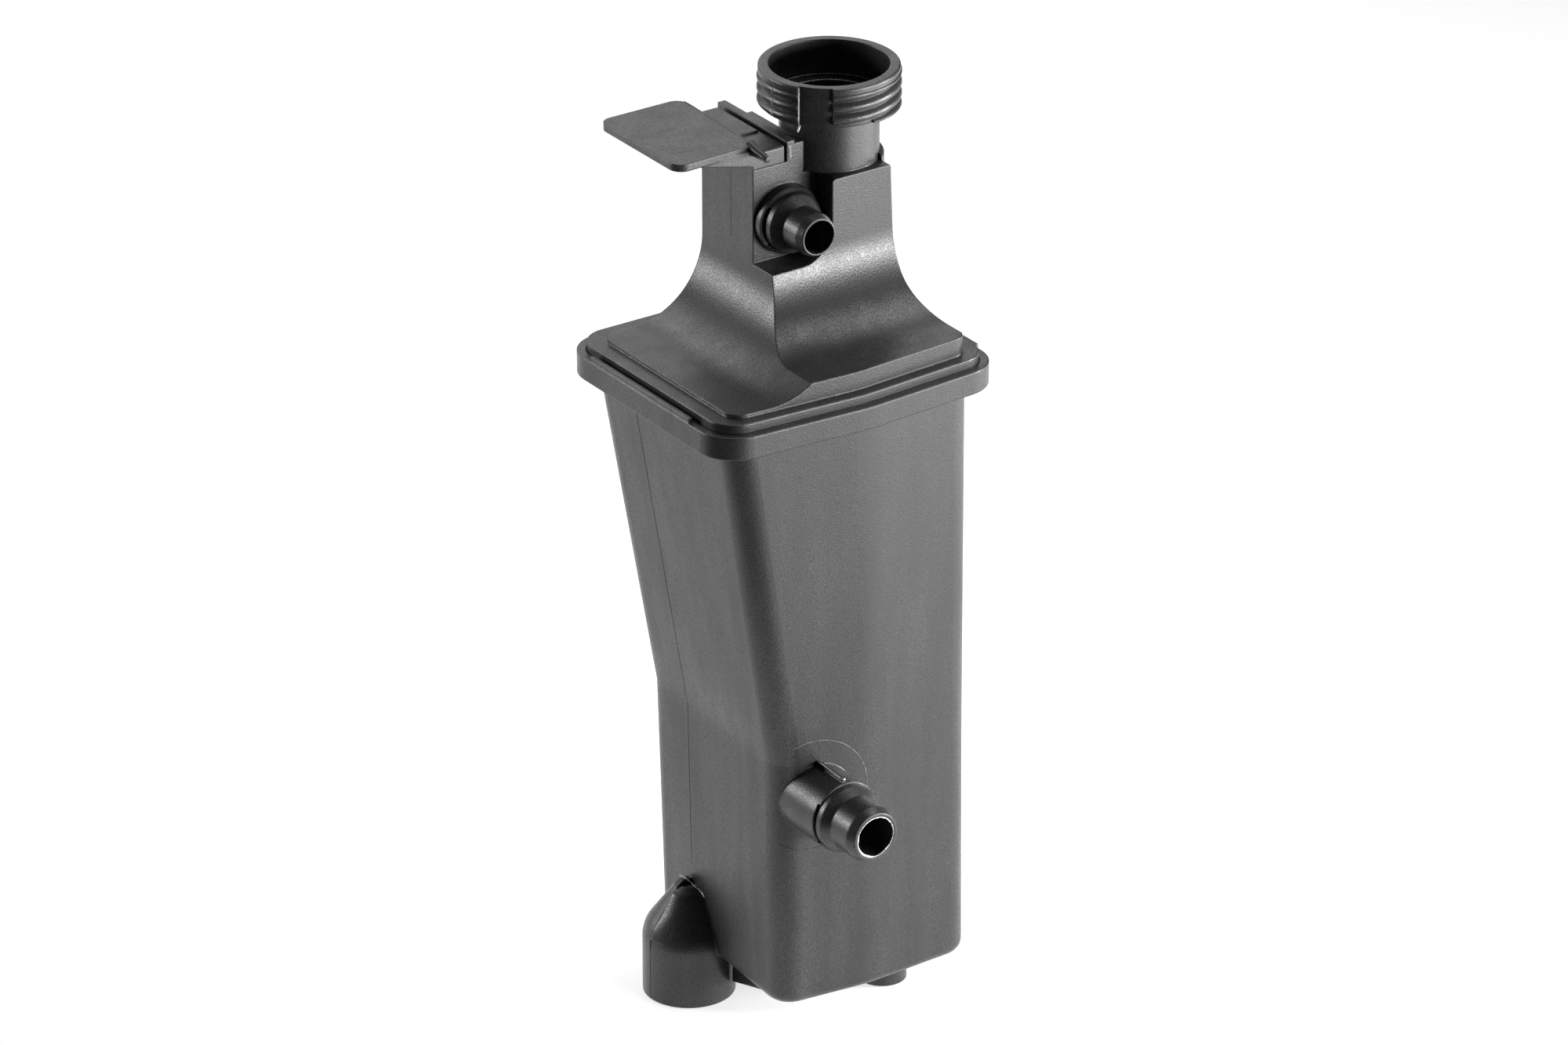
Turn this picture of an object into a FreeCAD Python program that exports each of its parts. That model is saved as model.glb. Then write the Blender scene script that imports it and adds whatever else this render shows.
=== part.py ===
import FreeCAD, Part
import math
import os

# Coolant expansion tank of two welded shells: a tall hollow body with a rim, and an upper shell whose concave
# flares rise to a tower with the filler neck. Sizes are in millimetres. While the pieces are made, x and y are
# counted from the middle of the rim and z from the plane that the foot and the collar stand on. At the end all
# of them move together, so that the origin is the middle of the foot's socket mouth.

wall = 3.0
rest = 0.0

# Rim of the lower shell. Its front side is bowed, so its middle stands out by rim_bow.
rim_z = 247.5
rim_height = 8.75
rim_half_width = 60.8
rim_half_depth = 53.5
rim_bow = 4.1
rim_corner = 14.5
rim_edge = 0.4
seat_depth = 3.75
rail_height = 1.8
rail_width = 1.5
left_rail = (-28.5, 35.0)
right_rail = (-34.2, 34.0)

# Lower body: its left wall leans in from the rim to the kink and then stands nearly upright to the floor.
kink_z = 117.5
floor_z = 18.3
body_top = [(-53.2, -45.8), (2.5, -50.0), (50.6, -45.6), (51.4, 46.0), (-53.8, 46.0), (-53.6, 17.4)]
body_kink = [(-33.2, -44.5), (4.0, -50.0), (51.2, -45.2), (51.4, 45.6), (-30.2, 45.6), (-31.2, 17.4)]
body_floor = [(-33.0, -44.6), (5.0, -48.8), (51.2, -47.2), (51.2, 45.2), (-27.0, 45.2), (-29.2, 17.4)]
body_corner = 10.0
crease_radius = 60.0
floor_edge = 5.0

# Foot with an open socket, half sunk in the left wall. The mould parts through its axis, and the half behind the
# parting has a taller, wider cone. A cone is listed as its low height, high height, high radius and top height.
foot_x = -31.2
foot_y = 17.4
foot_radius = 17.3
foot_round = 14.0
foot_top_round = 2.0
front_cone = (23.9, 41.4, 7.5, 43.3)
back_cone = (26.4, 43.0, 5.2, 45.0)
socket_radius = 13.0
socket_depth = 23.0
socket_core_radius = 5.5
socket_core_z = 34.0

# Web under the floor. It runs forward from the foot, and its lower edge rises to the floor.
web_x = (-22.2, -19.8)
web_low_y = 2.0
web_low_z = 6.0
web_high_y = -42.0

# Level sensor: a collar under the floor opens into a dry pocket, and a ring float rides on the pocket.
collar_x = 32.8
collar_y = -16.1
collar_radius = 9.2
pocket_bore = 6.0
pocket_radius = 8.0
pocket_depth = 80.0
pocket_roof = 2.0
float_radius = 14.0
float_height = 20.0
float_gap = 0.4
float_rest_gap = 0.3
float_edge = 1.5
float_step = 3.0
float_step_radius = 11.0
magnet_height = 5.0
magnet_wall = 2.2
magnet_cover = 0.8
stop_radius = 10.5
stop_height = 2.4
stop_skirt = 5.0
stop_wall = 1.4

# Ports for quick connectors. Each list gives the port's outside as distance out from its seat, radius, and the
# rounding of that corner where it has one. A slot is listed as its start, width and depth.
lower_port_x = -17.5
lower_port_z = 102.7
lower_port_seat = -47.0
lower_port_outside = [
    (0.0, 13.5), (17.0, 13.5), (17.0, 13.0), (19.5, 12.9, 1.0), (22.8, 10.6, 0.8), (32.6, 10.6, 1.0), (36.0, 9.2, 0.4),
]
lower_port_bore = 7.9
lower_port_slot = (15.7, 1.3, 2.6)
lower_port_rib = (16.0, 1.2, 1.8)
upper_port_x = 6.6
upper_port_z = 304.9
upper_port_outside = [
    (0.0, 12.8), (3.6, 12.8), (4.8, 11.3), (7.4, 11.2, 1.0), (11.0, 8.0, 0.8), (18.6, 8.0, 1.0), (22.0, 7.0, 0.3),
]
upper_port_bore = 6.3
upper_port_slot = (3.5, 1.3, 2.4)
slot_reach = 0.58
port_root = 11.0

# Upper shell: rim step, plateau and the tower's concave flares.
rim_gap = 0.3
groove = 3.4
step_height = 3.4
plateau_half_width = 50.8
plateau_half_depth = 45.3
plateau_corner = 6.5
left_plateau_z = 261.1
front_plateau_z = 266.8
left_face_x = -6.8
left_flare = 29.4
front_face_y = -1.5
front_flare = 28.5
right_face_x = 44.7
right_foot_x = 46.3
right_flare = 27.0
right_flare_z = 280.5
back_face_y = 42.8
shoulder_z = 320.2
head_z = 332.4
head_right_x = 15.0

# Pocket in the tower's front, where the upper port stands.
recess_back_y = 10.2
recess_floor_z = 289.8
recess_right_x = 19.5
recess_curve = 13.0
panel_round = 1.4
panel_outer_round = 0.8

# Filler neck. The thread is 52 mm across its crests, and neck_radius is the core that carries it. Thread and lip
# break off over neck_flat, in degrees about the neck's axis. The tube under the neck stands out of the tower's
# right face, and there a boss surrounds it up to just above the shoulder.
neck_x = 32.1
neck_y = 19.0
neck_top_z = 355.4
neck_radius = 24.5
neck_height = 15.0
lip_radius = 25.6
lip_height = 2.8
neck_flat = (-150.6, -121.7)
neck_bore = 21.8
seat_ring_depth = 13.9
seat_ring_radius = 17.4
seat_ring_height = 2.6
tube_radius = 18.1
tube_bore = 15.2
tube_foot_z = 262.0
boss_radius = 19.8
boss_top_z = 322.4
lip_edge = 0.7

# Side tab: a block clipped on the tower's head, with a flat paddle that stands out to the left.
tab_floor_z = 326.0
tab_top_z = 332.6
tab_right_x = 6.6
tab_slot = 1.2
tab_back_y = 51.2
tab_bevel = 0.7
tab_tongue_width = 6.0
tab_tongue_depth = 2.5
tab_play = 0.15
pad_top_z = 333.2
pad_front_y = 25.5
pad_right_x = 5.8
bar_width = 3.2
bar_back_y = 54.2
bar_top_z = 333.7
paddle_top_z = 335.6
paddle_thickness = 2.7
paddle_corners = [(-39.5, 9.2), (-5.8, 10.8), (-3.8, 60.6), (-39.5, 60.4)]
paddle_round = 5.0
gusset_right_z = 327.4
gusset_left_x = -30.5
peg_x = -6.5
peg_z = 334.0
peg_tip_y = 1.4
peg_root_radius = 2.2
peg_tip_radius = 1.2
peg_drop = 0.8


def vec(x, y, z):
    return FreeCAD.Vector(x, y, z)


def box(x0, x1, y0, y1, z0, z1):
    return Part.makeBox(x1 - x0, y1 - y0, z1 - z0, vec(x0, y0, z0))


def upright(radius, x, y, z0, z1):
    return Part.makeCylinder(radius, z1 - z0, vec(x, y, z0))


def inset(points, distance):
    """The outline with every side moved in by the distance. Points run anticlockwise."""
    moved = []
    for i, here in enumerate(points):
        before, after = points[i - 1], points[(i + 1) % len(points)]
        ax, ay = here[0] - before[0], here[1] - before[1]
        bx, by = after[0] - here[0], after[1] - here[1]
        a_length, b_length = math.hypot(ax, ay), math.hypot(bx, by)
        a_nx, a_ny = -ay / a_length, ax / a_length
        b_nx, b_ny = -by / b_length, bx / b_length
        share = distance / (1.0 + a_nx * b_nx + a_ny * b_ny)
        moved.append((here[0] + (a_nx + b_nx) * share, here[1] + (a_ny + b_ny) * share))
    return moved


def rounded_wire(corners, radii):
    """A closed wire through the corners, with a tangent arc at each corner that has a radius."""
    starts, ends, edges = [], [], []
    for i, (corner, radius) in enumerate(zip(corners, radii)):
        if radius == 0.0:
            starts.append(corner)
            ends.append(corner)
            continue
        back = (corners[i - 1] - corner).normalize()
        on = (corners[(i + 1) % len(corners)] - corner).normalize()
        half = back.getAngle(on) / 2.0
        reach = radius / math.tan(half)
        middle = corner + (back + on).normalize() * (radius / math.sin(half) - radius)
        starts.append(corner + back * reach)
        ends.append(corner + on * reach)
        edges.append(Part.Arc(starts[i], middle, ends[i]).toShape())
    for i, end in enumerate(ends):
        edges.append(Part.LineSegment(end, starts[(i + 1) % len(starts)]).toShape())
    return Part.Wire(Part.__sortEdges__(edges))


def outline(points, radii, z):
    """A closed wire of lines and tangent arcs at height z."""
    return rounded_wire([vec(x, y, z) for x, y in points], radii)


def prism(points, radii, z0, z1):
    return Part.Face(outline(points, radii, z0)).extrude(vec(0, 0, z1 - z0))


def loft(lower, upper):
    return Part.makeLoft([lower, upper], True, True)


def turned(profile, x, y, z, direction):
    """A solid turned about the line through x, y, z. Each corner is distance along, radius and, if any, rounding."""
    side = vec(1, 0, 0)
    start = vec(x, y, z)
    corners = [start + direction * corner[0] + side * corner[1] for corner in profile]
    rounding = [corner[2] if len(corner) > 2 else 0.0 for corner in profile]
    return Part.Face(rounded_wire(corners, rounding)).revolve(start, direction, 360)


def join(first, *others):
    return first.fuse(list(others)).removeSplitter()


def edges_at(shape, z, x=None):
    """The edges that lie level at height z, or only those at that height and that x."""
    found = []
    for edge in shape.Edges:
        bound = edge.BoundBox
        level = abs(bound.ZMin - z) < 0.01 and abs(bound.ZMax - z) < 0.01
        beside = x is None or (abs(bound.XMin - x) < 0.01 and abs(bound.XMax - x) < 0.01)
        if level and beside:
            found.append(edge)
    return found


def rim_outline():
    return [
        (-rim_half_width, -rim_half_depth + rim_bow),
        (0.0, -rim_half_depth),
        (rim_half_width, -rim_half_depth + rim_bow),
        (rim_half_width, rim_half_depth),
        (-rim_half_width, rim_half_depth),
    ]


def rim_radii(corner):
    return [corner, crease_radius, corner, corner, corner]


def plateau_outline(shrink):
    front_corner = -plateau_half_depth + rim_bow * plateau_half_width / rim_half_width
    return inset([
        (-plateau_half_width, front_corner),
        (0.0, -plateau_half_depth),
        (plateau_half_width, front_corner),
        (plateau_half_width, back_face_y),
        (-plateau_half_width, back_face_y),
    ], shrink)


def body_radii(corner):
    return [corner, crease_radius, corner, corner, corner, crease_radius]


def body_form(shrink, bottom_z, top_z):
    """The lower body's outer form, or the form inside its walls."""
    corner = body_corner - shrink
    top = outline(inset(body_top, shrink), body_radii(corner), top_z)
    kink = outline(inset(body_kink, shrink), body_radii(corner), kink_z)
    bottom = outline(inset(body_floor, shrink), body_radii(corner), bottom_z)
    return loft(kink, top), loft(bottom, kink)


def port(x, z, seat_y, outside, bore, slot):
    """A stepped port that points forward, with a clip slot cut in on both sides."""
    forward = vec(0, -1, 0)
    root = -port_root
    profile = [(root, 0.0), (root, outside[0][1])] + outside + [(outside[-1][0], 0.0)]
    body = turned(profile, x, seat_y, z, forward)
    slot_start, slot_width, slot_depth = slot
    reach = outside[0][1]
    ring_outer = reach + 1.0
    ring = turned(
        [(slot_start, reach - slot_depth), (slot_start + slot_width, reach - slot_depth),
         (slot_start + slot_width, ring_outer), (slot_start, ring_outer)], x, seat_y, z, forward)
    limit = reach * slot_reach
    back_y, front_y = seat_y - slot_start - slot_width - 1.0, seat_y - slot_start + 1.0
    left = box(x - ring_outer, x - limit / 2, back_y, front_y, z - limit, z + limit)
    right = box(x + limit / 2, x + ring_outer, back_y, front_y, z - limit, z + limit)
    slots = ring.common(left.fuse(right))
    hole = turned([(root - 1.0, 0.0), (root - 1.0, bore), (outside[-1][0] + 1.0, bore), (outside[-1][0] + 1.0, 0.0)],
                  x, seat_y, z, forward)
    return body.cut(slots), hole


def foot_half(cone, side):
    """The half of the foot before the mould's parting, with side -1, or the half behind it, with side 1."""
    low_z, high_z, high_radius, top_z = cone
    profile = [
        (0.0, 0.0), (0.0, foot_radius), (low_z, foot_radius, foot_round), (high_z, high_radius, foot_top_round),
        (top_z, high_radius * 0.5, foot_top_round / 2), (top_z, 0.0),
    ]
    whole = turned(profile, foot_x, foot_y, rest, vec(0, 0, 1))
    near, far = sorted((foot_y, foot_y + side * 2 * foot_radius))
    return whole.common(box(foot_x - 2 * foot_radius, foot_x + 2 * foot_radius, near, far, rest - 1.0, top_z + 1.0))


def make_lower_shell():
    upper_part, lower_part = body_form(0.0, floor_z, rim_z)
    lower_part = lower_part.makeFillet(floor_edge, edges_at(lower_part, floor_z))
    rim_top = rim_z + rim_height
    rim = prism(rim_outline(), rim_radii(rim_corner), rim_z, rim_top)
    rim = rim.makeFillet(rim_edge, edges_at(rim, rim_z) + edges_at(rim, rim_top))
    seat = prism(inset(rim_outline(), groove), rim_radii(rim_corner - groove), rim_top - seat_depth, rim_top + 1.0)
    rim = rim.cut(seat)
    rails = []
    for side, (front, back) in ((-1, left_rail), (1, right_rail)):
        outer, inner = side * (rim_half_width - rim_edge), side * (rim_half_width - rim_edge - rail_width)
        rails.append(box(min(outer, inner), max(outer, inner), front, back, rim_top - 1.0, rim_top + rail_height))
    socket_profile = [
        (-1.0, 0.0), (-1.0, socket_radius), (socket_depth, socket_radius), (socket_core_z, socket_core_radius),
        (socket_core_z, 0.0),
    ]
    socket = turned(socket_profile, foot_x, foot_y, rest, vec(0, 0, 1))
    collar = upright(collar_radius, collar_x, collar_y, rest, floor_z + 1.0)
    lower_port, lower_hole = port(lower_port_x, lower_port_z, lower_port_seat, lower_port_outside, lower_port_bore,
                                  lower_port_slot)
    rib_length, rib_height, rib_width = lower_port_rib
    rib_top = lower_port_z + lower_port_outside[0][1] + rib_height
    rib = box(lower_port_x - rib_width / 2, lower_port_x + rib_width / 2, lower_port_seat - rib_length,
              lower_port_seat + 1.0, lower_port_z + lower_port_outside[0][1] - 1.0, rib_top)
    web_edge = [vec(web_x[0], web_low_y, web_low_z), vec(web_x[0], web_high_y, floor_z),
                vec(web_x[0], web_high_y, floor_z + 1.0), vec(web_x[0], web_low_y, floor_z + 1.0)]
    web = Part.Face(Part.makePolygon(web_edge + [web_edge[0]])).extrude(vec(web_x[1] - web_x[0], 0, 0))
    shell = join(upper_part, lower_part, rim, rails[0], rails[1], collar, lower_port, rib, web)
    inner_upper, inner_lower = body_form(wall, floor_z + wall, rim_top)
    pocket_top = rest + pocket_depth + pocket_roof
    pocket = upright(pocket_radius, collar_x, collar_y, floor_z + 1.0, pocket_top)
    ledge = upright(float_step_radius, collar_x, collar_y, floor_z + 1.0, floor_z + wall + float_step)
    shell = shell.cut(inner_lower).cut(inner_upper)
    shell = join(shell, pocket, ledge, foot_half(front_cone, -1), foot_half(back_cone, 1))
    bore = upright(pocket_bore, collar_x, collar_y, rest - 1.0, rest + pocket_depth)
    return shell.cut(bore).cut(socket).cut(lower_hole)


def side_profile(shrink, base_z):
    """The tower seen from the front: left flare, head, shoulder and right face, as a face in the x-z plane."""
    edge = plateau_half_width - shrink
    left, right = left_face_x + shrink, right_face_x - shrink
    left_middle = vec(left_face_x - left_flare, 0, left_plateau_z + left_flare)
    left_radius = left_flare + shrink
    left_bend = math.sqrt(0.5) * left_radius
    left_low = left_middle + vec(0, 0, -left_radius)
    left_high = left_middle + vec(left_radius, 0, 0)
    left_arc = Part.Arc(left_low, left_middle + vec(left_bend, 0, -left_bend), left_high)
    right_middle = vec(right_foot_x + right_flare, 0, right_flare_z)
    right_radius = right_flare + shrink
    right_high = right_middle + vec(-right_radius, 0, 0)
    reach = math.acos((right_middle.x - edge) / right_radius)
    right_bend = vec(-math.cos(reach / 2) * right_radius, 0, -math.sin(reach / 2) * right_radius)
    right_low = vec(edge, 0, right_middle.z - math.sin(reach) * right_radius)
    right_arc = Part.Arc(right_high, right_middle + right_bend, right_low)
    ceiling = head_z if shrink == 0 else tab_floor_z - tab_tongue_depth - shrink
    corners = [
        left_high, vec(left, 0, ceiling), vec(head_right_x - shrink, 0, ceiling),
        vec(head_right_x - shrink, 0, shoulder_z - shrink), vec(right, 0, shoulder_z - shrink), right_high,
    ]
    base = [right_low, vec(edge, 0, base_z), vec(-edge, 0, base_z), vec(-edge, 0, left_low.z), left_low]
    edges = [left_arc.toShape()]
    edges += [Part.LineSegment(a, b).toShape() for a, b in zip(corners, corners[1:])]
    edges.append(right_arc.toShape())
    edges += [Part.LineSegment(a, b).toShape() for a, b in zip(base, base[1:])]
    return Part.Face(Part.Wire(edges))


def front_profile(shrink, base_z):
    """The tower seen from the side: front flare and upright back, as a face in the y-z plane."""
    front = -plateau_half_depth + shrink
    back = back_face_y - shrink
    middle = vec(0, front_face_y - front_flare, front_plateau_z + front_flare)
    radius = front_flare + shrink
    bend = math.sqrt(0.5) * radius
    low = vec(0, middle.y, middle.z - radius)
    high = vec(0, middle.y + radius, middle.z)
    arc = Part.Arc(low, vec(0, middle.y + bend, middle.z - bend), high)
    top = head_z + wall
    corners = [high, vec(0, high.y, top), vec(0, back, top), vec(0, back, base_z), vec(0, front, base_z),
               vec(0, front, low.z), low]
    edges = [arc.toShape()] + [Part.LineSegment(a, b).toShape() for a, b in zip(corners, corners[1:])]
    return Part.Face(Part.Wire(edges))


def tower_form(shrink, base_z):
    """The form that both profiles bound: each is drawn out along its own level axis and they are intersected."""
    plateau = prism(plateau_outline(shrink), rim_radii(plateau_corner - shrink), base_z, head_z + wall)
    across = side_profile(shrink, base_z)
    across.translate(vec(0, -rim_half_depth, 0))
    along = front_profile(shrink, base_z)
    along.translate(vec(-rim_half_width, 0, 0))
    across_solid = across.extrude(vec(0, 2 * rim_half_depth, 0))
    along_solid = along.extrude(vec(2 * rim_half_width, 0, 0))
    return plateau.common(across_solid).common(along_solid)


def recess(grow):
    """The pocket in the tower's front, open forward, to the left and above, with one rounded lower corner."""
    left, right = left_face_x - 1.0 - grow, recess_right_x + grow
    low, high = recess_floor_z - grow, head_z + wall + 1.0
    radius = recess_curve + grow
    y0 = front_face_y - front_flare
    bend = radius * (1.0 - math.sqrt(0.5))
    arc = Part.Arc(vec(right - radius, y0, low), vec(right - bend, y0, low + bend), vec(right, y0, low + radius))
    corners = [vec(right, y0, low + radius), vec(right, y0, high), vec(left, y0, high), vec(left, y0, low),
               vec(right - radius, y0, low)]
    edges = [arc.toShape()] + [Part.LineSegment(a, b).toShape() for a, b in zip(corners, corners[1:])]
    depth = recess_back_y + grow - y0
    return Part.Face(Part.Wire(edges)).extrude(vec(0, depth, 0))


def make_upper_shell():
    rim_top = rim_z + rim_height
    seat_z = rim_top - seat_depth
    step_top = rim_top + step_height
    margin = groove + rim_gap
    step = prism(inset(rim_outline(), margin), rim_radii(rim_corner - margin), seat_z, step_top)
    step = step.makeFillet(rim_edge, edges_at(step, step_top))
    tower = tower_form(0.0, seat_z)
    tower = tower.cut(recess(0.0))
    tower = tower.makeFillet(panel_round, edges_at(tower, shoulder_z, recess_right_x))
    tower = tower.makeFillet(panel_outer_round, edges_at(tower, shoulder_z, right_face_x))
    neck_low_z = neck_top_z - neck_height
    tube = upright(tube_radius, neck_x, neck_y, tube_foot_z, neck_low_z + 1.0)
    low_front = box(-rim_half_width, rim_half_width, -rim_half_depth, rim_half_depth, rest, shoulder_z)
    tube = tube.cut(recess(0.0).common(low_front))
    boss = upright(boss_radius, neck_x, neck_y, tube_foot_z, boss_top_z)
    boss = boss.makeFillet(boss_radius - tube_radius - 0.1, edges_at(boss, boss_top_z))
    right_side = box(right_face_x - 0.5, neck_x + boss_radius, -rim_half_depth, rim_half_depth, rest, neck_top_z)
    boss = boss.common(right_side)
    thread_core = upright(neck_radius, neck_x, neck_y, neck_low_z, neck_top_z - 1.0)
    lip = upright(lip_radius, neck_x, neck_y, neck_top_z - lip_height, neck_top_z)
    lip = lip.makeFillet(lip_edge, edges_at(lip, neck_top_z))
    flat_start, flat_end = neck_flat
    flat = Part.makeCylinder(lip_radius + 1.0, neck_height, vec(neck_x, neck_y, neck_low_z + 1.0), vec(0, 0, 1),
                             flat_end - flat_start)
    flat.rotate(vec(neck_x, neck_y, rest), vec(0, 0, 1), flat_start)
    lip = lip.cut(flat.cut(upright(neck_radius, neck_x, neck_y, neck_low_z, neck_top_z + 1.0)))
    upper_port, upper_hole = port(upper_port_x, upper_port_z, recess_back_y, upper_port_outside, upper_port_bore,
                                  upper_port_slot)
    notch = box(left_face_x - 1.0, tab_right_x + tab_slot, recess_back_y - 1.0, back_face_y + 1.0, tab_floor_z,
                head_z + 1.0)
    tower = tower.cut(notch)
    groove_low = tab_floor_z - tab_tongue_depth - tab_play
    groove_x = tab_right_x - tab_tongue_width
    tongue_groove = box(groove_x - tab_play, tab_right_x + tab_play, recess_back_y + wall, back_face_y + 1.0,
                        groove_low, tab_floor_z + 1.0)
    bar_left = tab_right_x + tab_slot
    bar = box(bar_left, bar_left + bar_width, recess_back_y, bar_back_y, tab_floor_z, bar_top_z)
    shell = join(step, tower, tube, boss, thread_core, lip, upper_port, bar)
    inside = tower_form(wall, seat_z - 1.0).cut(recess(wall))
    shell = shell.cut(inside).cut(tongue_groove)
    low = tube_foot_z + wall
    ring_top = neck_top_z - seat_ring_depth - low
    ring_low = ring_top - seat_ring_height
    above = neck_top_z + 1.0 - low
    bore_profile = [
        (0.0, 0.0), (0.0, tube_bore), (ring_low, tube_bore), (ring_low, seat_ring_radius), (ring_top, seat_ring_radius),
        (ring_top, neck_bore), (above, neck_bore), (above, 0.0),
    ]
    bore = turned(bore_profile, neck_x, neck_y, low, vec(0, 0, 1))
    return shell.cut(bore).cut(upper_hole)


def make_side_tab():
    block = box(left_face_x, tab_right_x, recess_back_y, tab_back_y, tab_floor_z, tab_top_z)
    front_top = [e for e in edges_at(block, tab_top_z) if abs(e.BoundBox.YMax - recess_back_y) < 0.01]
    block = block.makeChamfer(tab_bevel, front_top)
    tongue = box(tab_right_x - tab_tongue_width, tab_right_x, recess_back_y + wall + tab_play, back_face_y,
                 tab_floor_z - tab_tongue_depth, tab_floor_z + 1.0)
    low = paddle_top_z - paddle_thickness
    plate = prism(paddle_corners, [paddle_round, 1.0, paddle_round, paddle_round], low, paddle_top_z)
    pad = box(left_face_x, pad_right_x, pad_front_y, tab_back_y, tab_top_z - 1.0, pad_top_z)
    web = [vec(left_face_x, recess_back_y, gusset_right_z), vec(left_face_x, recess_back_y, low + 1.0),
           vec(gusset_left_x, recess_back_y, low + 1.0), vec(gusset_left_x, recess_back_y, low)]
    gusset = Part.Face(Part.makePolygon(web + [web[0]])).extrude(vec(0, tab_back_y - recess_back_y, 0))
    bridge = box(left_face_x, paddle_corners[1][0] + 0.5, recess_back_y + 1.0, tab_back_y, tab_top_z - 1.0, low + 1.0)
    peg_root = vec(peg_x, recess_back_y + 2.0, peg_z)
    peg_way = vec(peg_x, peg_tip_y, peg_root.z - peg_drop) - peg_root
    peg = Part.makeCone(peg_root_radius, peg_tip_radius, peg_way.Length, peg_root, peg_way)
    return join(block, tongue, plate, pad, gusset, bridge, peg)


def make_float():
    low = floor_z + wall + float_step + float_rest_gap
    inner = pocket_radius + float_gap
    ring = turned([(0.0, inner), (float_height, inner), (float_height, float_radius), (0.0, float_radius)],
                  collar_x, collar_y, low, vec(0, 0, 1))
    rims = []
    for edge in ring.Edges:
        circle = edge.Curve
        if isinstance(circle, Part.Circle) and abs(circle.Radius - float_radius) < 0.01:
            rims.append(edge)
    ring = ring.makeFillet(float_edge, rims)
    magnet_inner = inner + magnet_cover
    magnet_outer = magnet_inner + magnet_wall
    seat_low = -1.0
    seat = turned([(seat_low, magnet_inner), (magnet_height, magnet_inner), (magnet_height, magnet_outer),
                   (seat_low, magnet_outer)], collar_x, collar_y, low, vec(0, 0, 1))
    magnet_low = 0.4
    magnet = turned([(magnet_low, magnet_inner), (magnet_height, magnet_inner), (magnet_height, magnet_outer),
                     (magnet_low, magnet_outer)], collar_x, collar_y, low, vec(0, 0, 1))
    return ring.cut(seat), magnet


def make_float_stop():
    top = rest + pocket_depth + pocket_roof
    disc = upright(stop_radius, collar_x, collar_y, top, top + stop_height)
    skirt = upright(pocket_radius + stop_wall, collar_x, collar_y, top - stop_skirt, top)
    hollow = upright(pocket_radius, collar_x, collar_y, top - stop_skirt - 1.0, top)
    return join(disc, skirt.cut(hollow))


os.makedirs("parts", exist_ok=True)
level_float, float_magnet = make_float()
pieces = {
    "lower_shell": make_lower_shell(),
    "upper_shell": make_upper_shell(),
    "side_tab": make_side_tab(),
    "level_float": level_float,
    "float_magnet": float_magnet,
    "float_stop": make_float_stop(),
}
for name, shape in pieces.items():
    shape.translate(vec(-foot_x, -foot_y, -rest))
    shape.exportStep("parts/" + name + ".step")
    print(name, shape.isValid(), len(shape.Solids), round(shape.Volume), len(shape.Faces))
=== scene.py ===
import bpy
import bmesh
import math
from mathutils import Matrix, Vector, noise
from mathutils.bvhtree import BVHTree


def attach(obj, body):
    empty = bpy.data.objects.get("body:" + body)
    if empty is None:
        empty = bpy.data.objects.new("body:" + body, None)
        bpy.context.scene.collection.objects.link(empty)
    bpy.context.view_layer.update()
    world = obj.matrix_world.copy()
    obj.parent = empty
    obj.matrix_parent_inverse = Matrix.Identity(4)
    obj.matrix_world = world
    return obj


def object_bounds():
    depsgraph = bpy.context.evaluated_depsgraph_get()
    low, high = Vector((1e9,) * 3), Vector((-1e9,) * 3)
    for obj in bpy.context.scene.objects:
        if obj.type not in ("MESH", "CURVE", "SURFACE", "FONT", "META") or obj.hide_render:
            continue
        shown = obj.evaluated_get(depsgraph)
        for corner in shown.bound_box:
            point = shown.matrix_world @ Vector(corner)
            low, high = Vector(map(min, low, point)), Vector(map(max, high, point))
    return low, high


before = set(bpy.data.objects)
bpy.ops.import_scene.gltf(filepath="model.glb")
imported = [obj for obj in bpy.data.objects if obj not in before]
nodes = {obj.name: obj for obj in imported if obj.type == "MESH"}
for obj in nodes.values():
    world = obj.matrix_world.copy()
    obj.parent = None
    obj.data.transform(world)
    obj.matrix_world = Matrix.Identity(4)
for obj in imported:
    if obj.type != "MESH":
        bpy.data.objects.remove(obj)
cad_low, cad_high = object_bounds()


# Viewpoint. The tank is seen from its front left and a little above, through a long lens, so that its
# upright edges stay almost parallel. The camera aims below the rim's middle, and aim_left and aim_down
# are shares of the distance.
azimuth = math.radians(-34.39)
elevation = math.radians(25.91)
distance = 2.809
aim_left, aim_down = 0.000126, 0.018522
rim_centre = Vector((0.0312, -0.0174, 0.2475))
level_share = math.cos(elevation)
back = Vector((math.sin(azimuth) * level_share, -math.cos(azimuth) * level_share, math.sin(elevation)))
right = Vector((math.cos(azimuth), math.sin(azimuth), 0.0))
up = back.cross(right)
lens = bpy.data.cameras.new("photo_lens")
lens.lens = 180.0
lens.sensor_width = 36.0
lens.clip_end = 100.0
camera = bpy.data.objects.new("photo_camera", lens)
bpy.context.scene.collection.objects.link(camera)
camera_place = rim_centre + (back - aim_left * right - aim_down * up) * distance
camera_turn = Matrix((
    (right.x, up.x, back.x, 0), (right.y, up.y, back.y, 0), (right.z, up.z, back.z, 0), (0, 0, 0, 1)))
camera.matrix_world = Matrix.Translation(camera_place) @ camera_turn
bpy.context.scene.camera = camera


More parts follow.
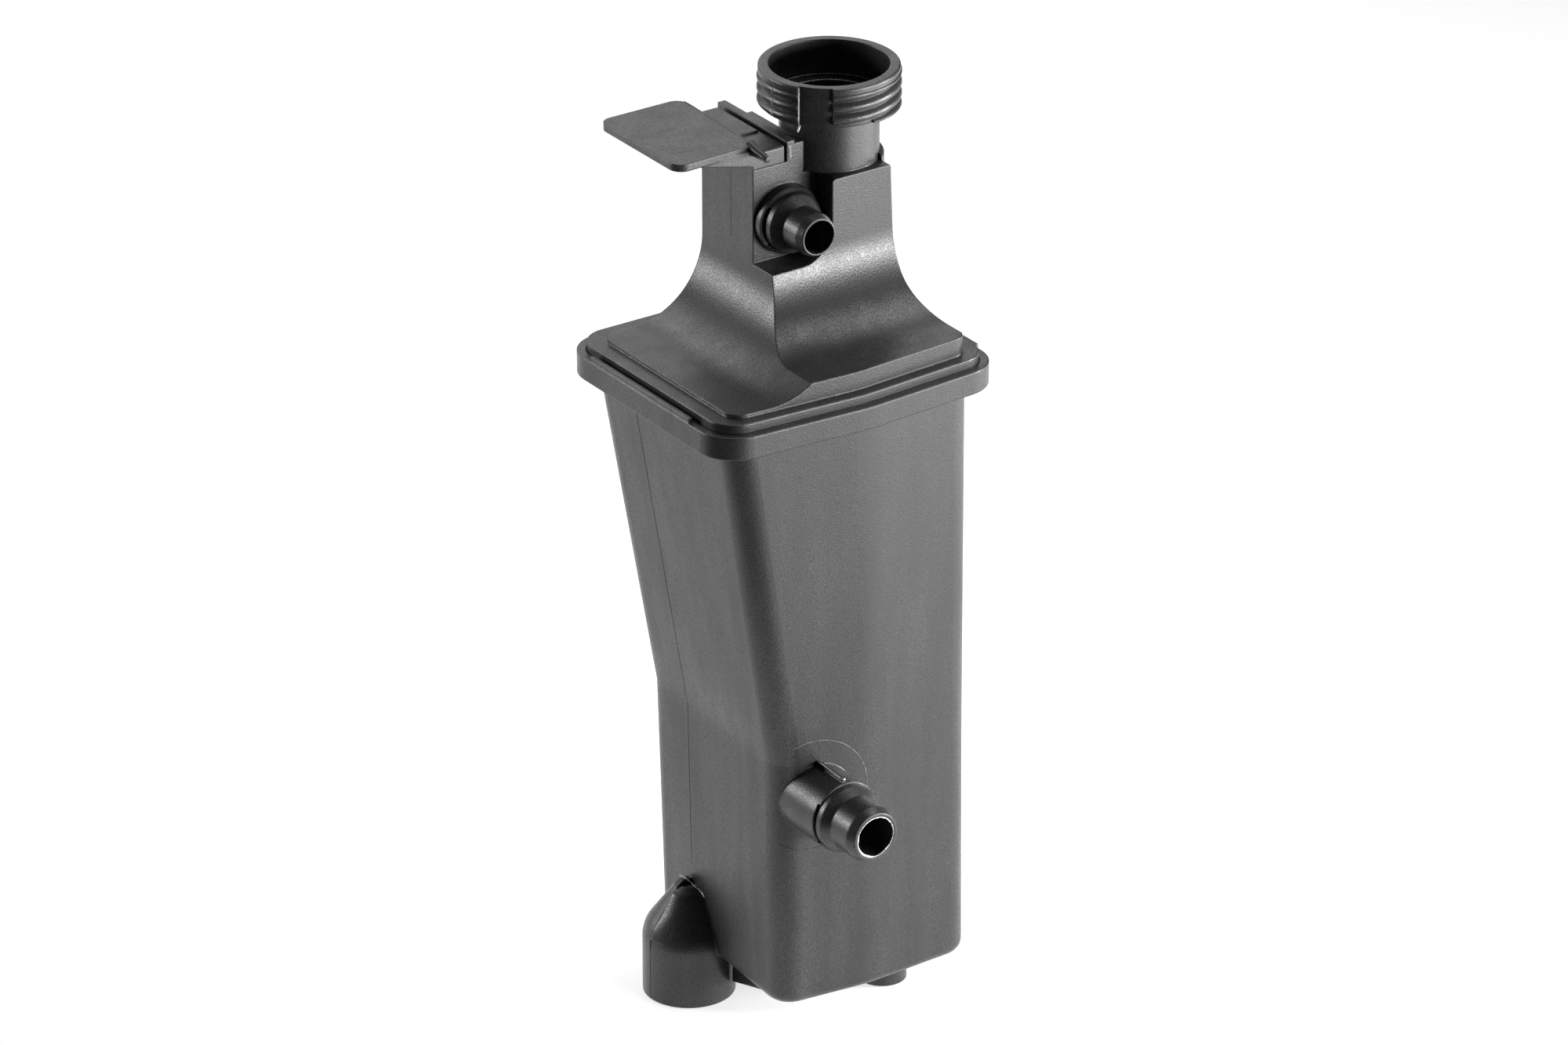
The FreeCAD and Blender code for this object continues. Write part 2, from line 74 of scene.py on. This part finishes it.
# Studio. The tank stands on white paper in a dark room, with square softboxes 1.3 m from its middle: small
# strong ones low on its right and left, and large weak ones behind and above. The front left stays dark,
# and the paper ends 0.3 m from the tank there, so that the black nylon shows deep blacks.
def toward(turn, height=0.0):
    """The direction at a turn round the tank and a height over the floor, both in degrees."""
    level = math.cos(math.radians(height))
    return Vector((math.cos(math.radians(turn)) * level, math.sin(math.radians(turn)) * level,
                   math.sin(math.radians(height))))


def mapped(tree, source, start, stop, first=0.0, last=1.0, smooth=False):
    """Turns the source's numbers from start to stop into numbers from first to last."""
    span = tree.nodes.new("ShaderNodeMapRange")
    span.interpolation_type = "SMOOTHSTEP" if smooth else "LINEAR"
    for socket, value in (("From Min", start), ("From Max", stop), ("To Min", first), ("To Max", last)):
        span.inputs[socket].default_value = value
    tree.links.new(source, span.inputs["Value"])
    return span.outputs["Result"]


def chained(tree, operation, numbers):
    """Works a list of numbers into one, two at a time."""
    result = numbers[0]
    for number in numbers[1:]:
        step = tree.nodes.new("ShaderNodeMath")
        step.operation = operation
        tree.links.new(result, step.inputs[0])
        tree.links.new(number, step.inputs[1])
        result = step.outputs[0]
    return result


bpy.context.scene.view_settings.view_transform = "Standard"
softbox_reach = 1.3
tank_middle = Vector((0.0312, -0.0174, 0.20))
softboxes = [
    (330, 5, 0.35, 25.5), (300, 5, 0.35, 14.5), (285, 5, 0.35, 9.0), (140, 14, 0.4, 9.5),
    (115, 12, 0.7, 2.5), (60, 12, 0.7, 1.8), (90, 38, 0.7, 3.9), (60, 38, 0.7, 1.1),
    (0, 64, 0.7, 5.1), (45, 64, 0.7, 2.5),
]
for softbox_turn, softbox_height, softbox_side, watts in softboxes:
    softbox_name = f"softbox_{softbox_turn}_{softbox_height}"
    light = bpy.data.lights.new(softbox_name, "AREA")
    light.shape = "SQUARE"
    light.size = softbox_side
    light.energy = watts
    lamp = bpy.data.objects.new(softbox_name, light)
    bpy.context.scene.collection.objects.link(lamp)
    away = toward(softbox_turn, softbox_height)
    lamp.location = tank_middle + away * softbox_reach
    lamp.rotation_euler = away.to_track_quat("Z", "Y").to_euler()

world = bpy.data.worlds.new("dark_room")
world.use_nodes = True
world.node_tree.nodes["Background"].inputs["Color"].default_value = (0.02, 0.02, 0.02, 1)
bpy.context.scene.world = world

paper_radius = 9.0
paper_reach = 0.3
paper_edge = toward(212.0)
paper_gap = 0.0004
sheet_mesh = bpy.data.meshes.new("paper_sweep")
sheet_shape = bmesh.new()
bmesh.ops.create_circle(sheet_shape, cap_ends=True, segments=64, radius=paper_radius)
sheet_parts = sheet_shape.verts[:] + sheet_shape.edges[:] + sheet_shape.faces[:]
bmesh.ops.bisect_plane(sheet_shape, geom=sheet_parts, plane_co=tank_middle + paper_edge * paper_reach,
                       plane_no=paper_edge, clear_outer=True)
sheet_shape.to_mesh(sheet_mesh)
sheet_shape.free()
sheet = bpy.data.objects.new("paper_sweep", sheet_mesh)
bpy.context.scene.collection.objects.link(sheet)
sheet.location.z = cad_low.z - paper_gap

paper = bpy.data.materials.new("white_paper")
paper.use_nodes = True
paper_tree = paper.node_tree
paper_surface = paper_tree.nodes["Principled BSDF"]
paper_surface.inputs["Base Color"].default_value = (0.70, 0.70, 0.70, 1)
paper_surface.inputs["Roughness"].default_value = 0.9
paper_surface.inputs["Specular IOR Level"].default_value = 0.2
paper_place = paper_tree.nodes.new("ShaderNodeTexCoord")
from_tank = paper_tree.nodes.new("ShaderNodeVectorMath")
from_tank.operation = "DISTANCE"
from_tank.inputs[1].default_value = (tank_middle.x, tank_middle.y, 0.0)
# Painted light: for camera and reflection rays the paper glows, brightest near the tank. This painted pool
# of light lightens the tank's shadow and the paper that the nylon reflects.
glow_start, glow_stop = 0.08, 0.30
glow_near, glow_far = 0.55, 0.28
paper_glow = mapped(paper_tree, from_tank.outputs["Value"], glow_start, glow_stop, glow_near, glow_far,
                    smooth=True)
glow = paper_tree.nodes.new("ShaderNodeEmission")
dark = paper_tree.nodes.new("ShaderNodeEmission")
dark.inputs["Strength"].default_value = 0.0
seen_by = paper_tree.nodes.new("ShaderNodeLightPath")
seen_rays = [seen_by.outputs[ray] for ray in ("Is Camera Ray", "Is Glossy Ray", "Is Transmission Ray")]
seen = chained(paper_tree, "MAXIMUM", seen_rays)
pick = paper_tree.nodes.new("ShaderNodeMixShader")
both = paper_tree.nodes.new("ShaderNodeAddShader")
for output, socket in (
        (paper_place.outputs["Object"], from_tank.inputs[0]), (paper_glow, glow.inputs["Strength"]),
        (seen, pick.inputs["Fac"]), (dark.outputs[0], pick.inputs[1]), (glow.outputs[0], pick.inputs[2]),
        (paper_surface.outputs[0], both.inputs[0]), (pick.outputs[0], both.inputs[1]),
        (both.outputs[0], paper_tree.nodes["Material Output"].inputs["Surface"])):
    paper_tree.links.new(output, socket)
sheet_mesh.materials.append(paper)


# Lower shell: a black glass-filled nylon moulding with a satin, spark-eroded grain, and faint clouds and
# streaks of flow that run up and down. Its edges were rounded a little by the tool, and they shine. The left
# wall bends in a wide soft curve, 117 mm up.
def flow_marks(tree, place, scale, detail, roughness=0.5, upright=1.0):
    """Noise over the surface, which is drawn out up and down where upright is less than one."""
    stretch = tree.nodes.new("ShaderNodeMapping")
    stretch.inputs["Scale"].default_value = (1.0, 1.0, upright)
    marks = tree.nodes.new("ShaderNodeTexNoise")
    marks.inputs["Scale"].default_value = scale
    marks.inputs["Detail"].default_value = detail
    marks.inputs["Roughness"].default_value = roughness
    tree.links.new(place, stretch.inputs["Vector"])
    tree.links.new(stretch.outputs["Vector"], marks.inputs["Vector"])
    return marks.outputs["Fac"]


def moulded_nylon(name, colour, roughness, grain):
    """Satin nylon. All its marks shade its colour and gloss, and the specks stand out as its grain."""
    material = bpy.data.materials.new(name)
    material.use_nodes = True
    tree = material.node_tree
    surface = tree.nodes["Principled BSDF"]
    surface.inputs["IOR"].default_value = 1.53
    place = tree.nodes.new("ShaderNodeTexCoord").outputs["Object"]
    clouds = flow_marks(tree, place, scale=55.0, detail=6.0, roughness=0.65, upright=0.3)
    streaks = flow_marks(tree, place, scale=120.0, detail=4.0, upright=0.12)
    specks = flow_marks(tree, place, scale=1700.0, detail=2.0)
    faint, strong = 0.3, 0.7
    shares = []
    for marks, swing in ((clouds, 0.3), (streaks, 0.3), (specks, 0.75)):
        shares.append(mapped(tree, marks, faint, strong, 1.0 - swing, 1.0 + swing))
    shade = chained(tree, "MULTIPLY", shares)
    tint = tree.nodes.new("ShaderNodeVectorMath")
    tint.operation = "SCALE"
    tint.inputs[0].default_value = colour
    tree.links.new(shade, tint.inputs["Scale"])
    tree.links.new(tint.outputs["Vector"], surface.inputs["Base Color"])
    dull, shiny = 0.5, 1.5
    gloss_swing = 0.07
    satin = mapped(tree, shade, dull, shiny, roughness + gloss_swing, roughness - gloss_swing)
    tree.links.new(satin, surface.inputs["Roughness"])
    soft_edge = tree.nodes.new("ShaderNodeBevel")
    soft_edge.samples = 6
    soft_edge.inputs["Radius"].default_value = 0.0009
    relief = tree.nodes.new("ShaderNodeBump")
    relief.inputs["Strength"].default_value = grain
    relief.inputs["Distance"].default_value = 0.0002
    tree.links.new(specks, relief.inputs["Height"])
    tree.links.new(soft_edge.outputs["Normal"], relief.inputs["Normal"])
    tree.links.new(relief.outputs["Normal"], surface.inputs["Normal"])
    return material


def dress(piece, material):
    piece.data.materials.clear()
    piece.data.materials.append(material)


shell_nylon = moulded_nylon("shell_nylon", (0.021, 0.021, 0.022), roughness=0.35, grain=0.45)
shell_tree = shell_nylon.node_tree
shell_place = shell_tree.nodes.new("ShaderNodeSeparateXYZ")
shell_tree.links.new(shell_tree.nodes["Texture Coordinate"].outputs["Object"], shell_place.inputs["Vector"])
bend_limits = (("Z", 0.096, 0.110), ("Z", 0.139, 0.125), ("X", 0.018, 0.010), ("Y", -0.058, -0.046))
bend_gates = [mapped(shell_tree, shell_place.outputs[axis], outside, inside, smooth=True)
              for axis, outside, inside in bend_limits]
in_bend = chained(shell_tree, "MULTIPLY", bend_gates)
wide_bend = shell_tree.nodes.new("ShaderNodeBevel")
wide_bend.samples = 8
wide_bend.inputs["Radius"].default_value = 0.014
# The node's sockets for vectors can only be told by their places.
share_socket, first_socket, second_socket, blend_socket = 0, 4, 5, 1
blend = shell_tree.nodes.new("ShaderNodeMix")
blend.data_type = "VECTOR"
shell_tree.links.new(in_bend, blend.inputs[share_socket])
shell_tree.links.new(shell_tree.nodes["Bevel"].outputs["Normal"], blend.inputs[first_socket])
shell_tree.links.new(wide_bend.outputs["Normal"], blend.inputs[second_socket])
shell_tree.links.new(blend.outputs[blend_socket], shell_tree.nodes["Bump"].inputs["Normal"])
dress(nodes["lower_shell"], shell_nylon)


# Mould lines on the lower shell: fine ridges of nylon where the tool's parts met. One runs down the left
# wall in the plane of the foot's axis, and on down the foot. A soft blend eases the step between the foot's
# two halves.
def surface_of(piece):
    return BVHTree.FromPolygons([corner.co for corner in piece.data.vertices],
                                [tuple(side.vertices) for side in piece.data.polygons])


def landed(surface, points, way, reach):
    """Where rays from the points meet the surface, each with the surface's normal there."""
    path = []
    for point in points:
        place, normal = surface.ray_cast(Vector(point), Vector(way), reach)[:2]
        if place is not None:
            path.append((place, normal))
    return path


def down_left_side(surface, y, top, step, count):
    """Where a row of rays from the left of the tank meets the surface, from the top down."""
    left_of_tank, ray_reach = -0.12, 0.2
    rays = [(left_of_tank, y, top - step * i) for i in range(count)]
    return landed(surface, rays, (1, 0, 0), ray_reach)


def add_skin(shape, rings, closed=False):
    """Faces from each ring of points to the next. The two ends are covered, or else joined to each other."""
    following = rings[1:] + rings[:1] if closed else rings[1:]
    for here, there in zip(rings, following):
        for i in range(len(here)):
            j = (i + 1) % len(here)
            shape.faces.new((here[i], there[i], there[j], here[j]))
    if not closed:
        shape.faces.new(rings[0])
        shape.faces.new(list(reversed(rings[-1])))


def add_bead(shape, path, half_width, height, closed=False):
    """A low rounded ridge along a path on a surface, with its foot sunk in the surface and tapered ends."""
    section = [(-1.0, -0.5), (-0.6, 0.6), (0.0, 1.0), (0.6, 0.6), (1.0, -0.5)]
    taper = 3.0
    rings = []
    for i, (place, normal) in enumerate(path):
        before = path[i - 1][0] if closed or i > 0 else place
        after = path[(i + 1) % len(path)][0] if closed or i + 1 < len(path) else place
        side = (after - before).cross(normal).normalized()
        rise = height if closed else height * min(1.0, (i + 0.3) / taper, (len(path) - i - 0.7) / taper)
        ring = []
        for across, out in section:
            ring.append(shape.verts.new(place + side * across * half_width + normal * out * rise))
        rings.append(ring)
    add_skin(shape, rings, closed)


def finished(name, shape, material, sharp=40.0):
    """Turns the shape into a piece that rides on the tank."""
    bmesh.ops.recalc_face_normals(shape, faces=shape.faces)
    mesh = bpy.data.meshes.new(name)
    shape.to_mesh(mesh)
    shape.free()
    mesh.shade_smooth()
    mesh.set_sharp_from_angle(angle=math.radians(sharp))
    mesh.materials.append(material)
    piece = bpy.data.objects.new(name, mesh)
    bpy.context.scene.collection.objects.link(piece)
    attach(piece, "tank")


lower_surface = surface_of(nodes["lower_shell"])
wall_line = bmesh.new()
wall_path = down_left_side(lower_surface, y=0.0, top=0.246, step=0.0025, count=79)
foot_path = down_left_side(lower_surface, y=0.0, top=0.0225, step=0.0022, count=11)
add_bead(wall_line, wall_path, half_width=0.00028, height=0.00009)
add_bead(wall_line, foot_path, half_width=0.00025, height=0.00012)
finished("wall_mould_line", wall_line, shell_nylon)


def left_face(y, z):
    """How far to the left the lower shell reaches at this place."""
    return down_left_side(lower_surface, y, z, step=0.0, count=1)[0][0].x


foot_blend = bmesh.new()
blend_top, blend_step = 0.0368, 0.00102
beside_line = 0.0003
blend_rise, edge_sink = 0.00003, 0.0001
blend_shares = [
    (-0.0003, 1.0), (-0.0012, 0.85), (-0.0024, 0.6), (-0.0040, 0.3), (-0.0058, 0.08), (-0.0070, 0.0),
]
blend_rings = []
for row in range(13):
    height = blend_top - blend_step * row
    rear, front = left_face(beside_line, height), left_face(-beside_line, height)
    foot_step = max(front - rear, 0.0)
    blend_points = [(rear - blend_rise, 0.0004)]
    for y, share in blend_shares:
        sink = edge_sink if share == 0.0 else 0.0
        blend_points.append((left_face(y, height) - foot_step * share - blend_rise + sink, y))
    blend_points.append((front + 0.002, -0.003))
    blend_rings.append([foot_blend.verts.new((x, y, height)) for x, y in blend_points])
add_skin(foot_blend, blend_rings)
finished("foot_blend", foot_blend, shell_nylon, sharp=60.0)


# Insert mark: the ring that the round tool insert of the lower port left on the front wall. It crosses the
# rounded left edge, and the flash stands a little higher on its right, where the ring is painted light grey
# as a painted highlight.
mark_x, mark_z = 0.0115, 0.1044
mark_radius = 0.0218
mark_half_width = 0.00024
before_tank, mark_reach = -0.13, 0.1
# Light grey nylon: a painted highlight on the insert mark's right part, and the paler colour of the bar's
# rough end face.
light_grey_nylon = moulded_nylon("light_grey_nylon", (0.14, 0.14, 0.14), roughness=0.45, grain=0.6)
for first, last, mark_height, mark_name, skin in (
        (-30, 118, 0.00016, "port_insert_mark_right", light_grey_nylon),
        (150, 292, 0.00007, "port_insert_mark_left", shell_nylon)):
    mark_rays = []
    for degrees in range(first, last, 3):
        angle = math.radians(degrees)
        mark_rays.append((mark_x + mark_radius * math.cos(angle), before_tank,
                          mark_z + mark_radius * math.sin(angle)))
    mark_path = landed(lower_surface, mark_rays, (0, 1, 0), mark_reach)
    mark_ring = bmesh.new()
    add_bead(mark_ring, mark_path, mark_half_width, mark_height)
    finished(mark_name, mark_ring, skin)


# Flash in the lower port's mouth: a thin wavy skin of nylon left where the bore's core met the tool. It is
# rough, and it is painted almost white as a painted highlight along the mouth's edge.
mouth_highlight_nylon = moulded_nylon("mouth_highlight_nylon", (0.80, 0.80, 0.79), roughness=0.5, grain=0.4)
mouth_x, mouth_z = 0.0137, 0.1027
mouth_bore, mouth_front = 0.0079, -0.10039
flash_width, wave_swing, fine_swing = 0.00038, 0.00036, 0.00014
flash_root = mouth_bore + 0.0001
flash_steps = 96
mouth_flash = bmesh.new()
mouth_rings = []
for i in range(flash_steps):
    angle = math.radians(360.0 / flash_steps * i)
    across, above = math.cos(angle), math.sin(angle)
    wave = noise.noise(Vector((across * 1.6, above * 1.6, 0.4)))
    fine_wave = noise.noise(Vector((across * 6.0, above * 6.0, 2.4)))
    inner = mouth_bore - flash_width - wave_swing * wave - fine_swing * fine_wave
    ring = []
    for radius, depth in ((flash_root, 0.0001), (mouth_bore - 0.0002, 0.0), (inner, 0.00025),
                          (inner, 0.00045), (flash_root, 0.0008)):
        ring.append(mouth_flash.verts.new((mouth_x + radius * across, mouth_front + depth,
                                           mouth_z + radius * above)))
    mouth_rings.append(ring)
add_skin(mouth_flash, mouth_rings, closed=True)
finished("port_mouth_flash", mouth_flash, mouth_highlight_nylon)


# Torn flash on the lower shell: a fringe of nylon, painted pale as a painted highlight along the edges it
# lines. It follows the left edges of the rib on the lower port, whose top is a thin cap with bevelled edges,
# and the seam where the foot's top meets the wall.
# Pale nylon: a painted highlight for the light caught by the thin flash, burrs and lips that wear it.
pale_highlight_nylon = moulded_nylon("pale_highlight_nylon", (0.60, 0.60, 0.59), roughness=0.5, grain=0.4)
rib_left, rib_right, rib_root, rib_end = 0.01305, 0.01435, -0.0640, -0.08045
rib_back_top, rib_front_top = 0.1182, 0.11745
cap_foot, cap_bevel = 0.1168, 0.00025
rib_cap = bmesh.new()
cap_ends = []
for y, top in ((rib_root, rib_back_top), (rib_end, rib_front_top)):
    cap_outline = [
        (rib_left, cap_foot), (rib_left, top - cap_bevel), (rib_left + cap_bevel, top),
        (rib_right - cap_bevel, top), (rib_right, top - cap_bevel), (rib_right, cap_foot),
    ]
    cap_ends.append([rib_cap.verts.new((x, y, z)) for x, z in cap_outline])
add_skin(rib_cap, cap_ends)
finished("port_rib_cap", rib_cap, shell_nylon, sharp=30.0)

rib_fringe = bmesh.new()
fringe_back = Vector((rib_left, rib_root, rib_back_top))
fringe_front = Vector((rib_left, rib_end, rib_front_top))
for drop, half_width, out in ((0.0001, 0.00026, (-0.7, 0.0, 0.7)), (0.0011, 0.0002, (-1.0, 0.0, 0.2))):
    fringe_path = []
    for i in range(17):
        place = fringe_back.lerp(fringe_front, i / 16.0) - Vector((0.0, 0.0, drop))
        fringe_path.append((place, Vector(out)))
    add_bead(rib_fringe, fringe_path, half_width, height=0.0002)
end_out = Vector((0.0, -0.7, 0.7))
end_path = [(fringe_front + Vector((0.0003 * i, 0.0, 0.0)), end_out) for i in range(5)]
add_bead(rib_fringe, end_path, half_width=0.0004, height=0.00025)
finished("port_rib_fringe", rib_fringe, pale_highlight_nylon)

seam_fringe = bmesh.new()
seam_corners_mm = [
    (-1.2, 3.6, 45.0), (-0.6, 0.4, 45.0), (0.3, -1.0, 43.8), (0.3, -3.6, 43.3), (0.8, -4.9, 42.7),
    (1.1, -6.4, 42.2), (1.05, -8.0, 41.6), (1.0, -9.4, 40.6),
]
seam_out = Vector((-0.6, -0.6, 0.53))
ragged = 0.0003
seam_path = []
for here, there in zip(seam_corners_mm, seam_corners_mm[1:]):
    for i in range(4):
        tear = noise.noise(Vector((here[1] * 3.0 + i, 0.3, 0.7)))
        place = Vector(here).lerp(Vector(there), i / 4.0) / 1000.0
        seam_path.append((place + Vector((0.0, 0.0, ragged * tear)), seam_out))
add_bead(seam_fringe, seam_path, half_width=0.0003, height=0.00025)
curl = Vector((-0.0004, 0.0002, 0.0005))
curl_path = [(place + curl, out) for place, out in seam_path[:9]]
add_bead(seam_fringe, curl_path, half_width=0.00035, height=0.0002)
finished("seam_fringe", seam_fringe, pale_highlight_nylon)


# Upper shell: the same nylon, welded on the rim. Its plateau, flares and tower came from the same kind of
# tool, and a faint mould line runs down the tower's left wall.
dress(nodes["upper_shell"], shell_nylon)
tower_line = bmesh.new()
tower_path = down_left_side(surface_of(nodes["upper_shell"]), y=0.0069, top=0.3215, step=0.002, count=14)
add_bead(tower_line, tower_path, half_width=0.0002, height=0.00005)
finished("tower_mould_line", tower_line, shell_nylon)


# Filler thread: coarse rounded ridges moulded on the neck. They break off over a smooth flat on the front
# left. A line of flash runs down the flat's left edge to a tail under the neck, and a row of burrs crosses
# the ridges farther left. The flash and the burrs are painted pale, a painted highlight.
neck_axis = Vector((0.0633, 0.0016, 0.0))
core_radius = 0.0245
pitch = 0.0043
crest_at_zero = 0.34913
thread_low, thread_high = 0.3405, 0.3530
first_crest, last_crest = 0.3395, 0.3534
flat_start, flat_end = -150.6, -121.7
shortest_ridge = 8.0
ridge_section_mm = [
    (-2.05, 24.4), (-1.75, 24.55), (-1.35, 25.1), (-0.95, 25.75), (-0.45, 26.0), (0.15, 26.0), (0.7, 25.85),
    (1.2, 25.5), (1.65, 25.05), (2.0, 24.7), (2.2, 24.4), (2.2, 24.2), (-2.05, 24.2),
]


def add_ridge(shape, start, end):
    """One stretch of the thread's ridge between two angles in degrees, with closed ends."""
    degrees_per_step = 4.0
    steps = max(2, round((end - start) / degrees_per_step))
    rings = []
    for i in range(steps + 1):
        turn = start + (end - start) * i / steps
        crest = crest_at_zero + pitch * turn / 360.0
        ring = []
        for above, radius in ridge_section_mm:
            height = min(max(crest + above / 1000.0, thread_low), thread_high)
            ring.append(shape.verts.new(neck_axis + toward(turn) * radius / 1000.0 + Vector((0, 0, height))))
        rings.append(ring)
    add_skin(shape, rings)


thread_shape = bmesh.new()
ridge_start = (first_crest - crest_at_zero) / pitch * 360.0
ridge_stop = (last_crest - crest_at_zero) / pitch * 360.0
coil = math.floor(ridge_start / 360.0)
while coil * 360.0 + flat_end < ridge_stop:
    ridge_from = max(coil * 360.0 + flat_end, ridge_start)
    ridge_to = min((coil + 1) * 360.0 + flat_start, ridge_stop)
    if ridge_to - ridge_from > shortest_ridge:
        add_ridge(thread_shape, ridge_from, ridge_to)
    coil += 1
finished("neck_thread", thread_shape, shell_nylon, sharp=50.0)

neck_line = bmesh.new()
line_out = toward(flat_start - 0.2)
line_top, line_step = 0.3549, 0.00096
line_path = []
for i in range(16):
    height = line_top - line_step * i
    line_path.append((neck_axis + line_out * core_radius + Vector((0, 0, height)), line_out))
add_bead(neck_line, line_path, half_width=0.00025, height=0.0006)
tail_drop = -0.0142
tail_path = []
for i, (place, out) in enumerate(line_path[:4]):
    aside = 0.0003 - 0.0002 * i
    tail_path.append((place + Vector((aside, -aside, tail_drop)), out))
add_bead(neck_line, tail_path, half_width=0.0004, height=0.0006)
burr_turn = -176.0
burr_out = toward(burr_turn)
burr_top = thread_high - 0.0002
for coil in range(4):
    crest = crest_at_zero + pitch * (burr_turn / 360.0 + coil - 1.0)
    burr_path = []
    for above, radius in ridge_section_mm[2:9]:
        height = crest + above / 1000.0
        if height < burr_top:
            burr_path.append((neck_axis + burr_out * radius / 1000.0 + Vector((0, 0, height)), burr_out))
    if len(burr_path) > 3:
        add_bead(neck_line, burr_path, half_width=0.0003, height=0.0003)
finished("neck_mould_line", neck_line, pale_highlight_nylon)


# Seat edges inside the neck: two fine rings painted pale as painted highlights, on the sharp lips that the
# lathe-cut core left round the step that the cap's plug stops on.
seat_lips = bmesh.new()
for lip_radius, lip_z in ((0.02172, 0.3422), (0.01745, 0.34155)):
    lip_path = []
    for i in range(72):
        outward = toward(5.0 * i)
        place = neck_axis + outward * lip_radius + Vector((0, 0, lip_z))
        lip_path.append((place, Vector((-0.5 * outward.x, -0.5 * outward.y, 0.87))))
    add_bead(seat_lips, lip_path, half_width=0.00024, height=0.0002, closed=True)
finished("neck_seat_lips", seat_lips, pale_highlight_nylon)


# Bar end: the front face of the bar beside the tab is where its gate was cut off, so the face is rough and
# paler. It leans a little with the bar's sides.
cut_low, cut_left, cut_front = 0.3264, 0.0394, -0.0072
row_height, column_width = 0.00044, 0.0004
last_row, last_column = 14, 5
cut_lean = 0.0003
cut_skin = 0.00006
cut_face = bmesh.new()
cut_rows = []
for row in range(last_row + 1):
    height = cut_low + row_height * row
    cut_row = []
    for column in range(last_column + 1):
        across = cut_left + column_width * column - cut_lean * (row / last_row)
        rough = noise.noise(Vector((across * 2500.0, height * 1500.0, 1.5)))
        on_edge = row in (0, last_row) or column in (0, last_column)
        depth = 0.0001 if on_edge else -cut_skin - cut_skin * rough
        cut_row.append(cut_face.verts.new((across, cut_front + depth, height)))
    cut_rows.append(cut_row)
for below, above in zip(cut_rows, cut_rows[1:]):
    for i in range(last_column):
        cut_face.faces.new((below[i], below[i + 1], above[i + 1], above[i]))
right_side = [cut_row[-1] for cut_row in cut_rows[1:]]
top_side = list(reversed(cut_rows[-1][:-1]))
left_side = [cut_row[0] for cut_row in reversed(cut_rows[1:-1])]
cut_face.faces.new(list(reversed(cut_rows[0] + right_side + top_side + left_side)))
finished("bar_cut_face", cut_face, light_grey_nylon, sharp=20.0)


# Side tab: a separate black moulding of the same kind of nylon from another tool, clipped on the tower's
# head. Its peg is thicker at the root, and a fine raised lip runs along the paddle's inner edge.
tab_nylon = moulded_nylon("tab_nylon", (0.028, 0.028, 0.029), roughness=0.36, grain=0.3)
dress(nodes["side_tab"], tab_nylon)
peg_root, peg_tip = Vector((0.0247, -0.0046, 0.3345)), Vector((0.0247, -0.0161, 0.3333))
peg_profile = [
    (0.0, 0.0025), (0.1, 0.00235), (0.2, 0.0022), (0.5, 0.0018), (0.9, 0.00135), (0.97, 0.0012),
    (1.0, 0.0009),
]
peg_sides = 20
peg_side = Vector((1.0, 0.0, 0.0))
peg_up = peg_side.cross((peg_tip - peg_root).normalized())
peg = bmesh.new()
peg_rings = []
for along, radius in peg_profile:
    middle = peg_root.lerp(peg_tip, along)
    ring = []
    for i in range(peg_sides):
        angle = math.radians(360.0 / peg_sides * i)
        ring.append(peg.verts.new(middle + (peg_side * math.cos(angle) + peg_up * math.sin(angle)) * radius))
    peg_rings.append(ring)
add_skin(peg, peg_rings)
finished("tab_peg_root", peg, tab_nylon)

paddle_lip = bmesh.new()
lip_front, lip_back = Vector((0.02545, -0.0050, 0.33552)), Vector((0.02725, 0.0410, 0.33552))
lip_out = Vector((0.5, 0.0, 0.87))
lip_run = [(lip_front.lerp(lip_back, i / 24.0), lip_out) for i in range(25)]
add_bead(paddle_lip, lip_run, half_width=0.00045, height=0.00022)
finished("paddle_lip", paddle_lip, tab_nylon)


# Float stop, level float and magnet: inside the tank on the sensor pocket. The stop is nylon too, the float
# is grey foamed nylon, and the ring magnet in its underside is dark sintered ferrite with a like grain.
float_foam = moulded_nylon("float_foam", (0.32, 0.32, 0.33), roughness=0.75, grain=0.6)
magnet_ferrite = moulded_nylon("magnet_ferrite", (0.12, 0.12, 0.13), roughness=0.5, grain=0.5)
dress(nodes["float_stop"], tab_nylon)
dress(nodes["level_float"], float_foam)
dress(nodes["float_magnet"], magnet_ferrite)
